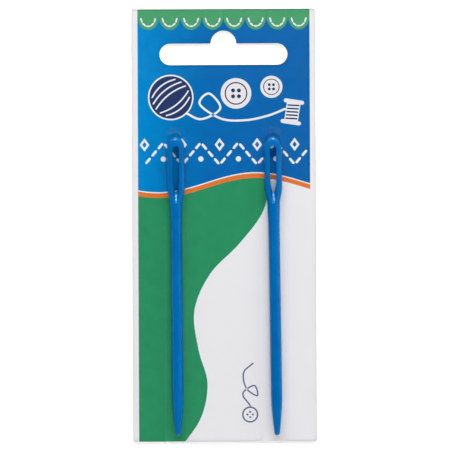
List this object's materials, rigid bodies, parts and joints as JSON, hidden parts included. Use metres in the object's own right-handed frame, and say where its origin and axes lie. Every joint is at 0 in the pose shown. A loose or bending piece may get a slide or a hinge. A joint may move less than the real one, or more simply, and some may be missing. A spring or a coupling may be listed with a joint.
{
  "type": "carded yarn needles",
  "caption": "Hang pack of blunt plastic yarn needles: printed backing card with a hanging slot, clear film with raised channels, and long-eyed needles that slide out.",
  "frame": {"origin": "middle of the backing card's back face, so the pack lies on z = 0", "axes": "+X across the card to the right of the printed face, +Y from the needle tips to the hanging slot, +Z out of the printed face"},
  "size_m": [0.043, 0.1014, 0.0037],
  "materials": {
    "card_board": "white lined board, printed in satin inks",
    "clear_film": "clear polyester film, glossy",
    "seal_layer": "clear heat seal lacquer",
    "needle_plastic": "moulded plastic, satin gloss"
  },
  "bodies": {
    "card": {"backing_card": "card_board", "film_header": "clear_film", "seal_header": "seal_layer", "seal_left": "seal_layer", "seal_right": "seal_layer"},
    "cover": {"film_front": "clear_film"},
    "left_needle": {"needle_left": "needle_plastic"},
    "right_needle": {"needle_right": "needle_plastic"}
  },
  "joints": [
    {"name": "cover_peel", "type": "hinge", "parent": "card", "child": "cover", "pos_m": [0, 0.0331, 0.0007], "axis": [-1, 0, 0], "range_deg": [0, 150]},
    {"name": "left_needle_slide", "type": "slide", "parent": "card", "child": "left_needle", "axis": [0, -1, 0], "range_m": [0, 0.075]},
    {"name": "right_needle_slide", "type": "slide", "parent": "card", "child": "right_needle", "axis": [0, -1, 0], "range_m": [0, 0.075]}
  ]
}
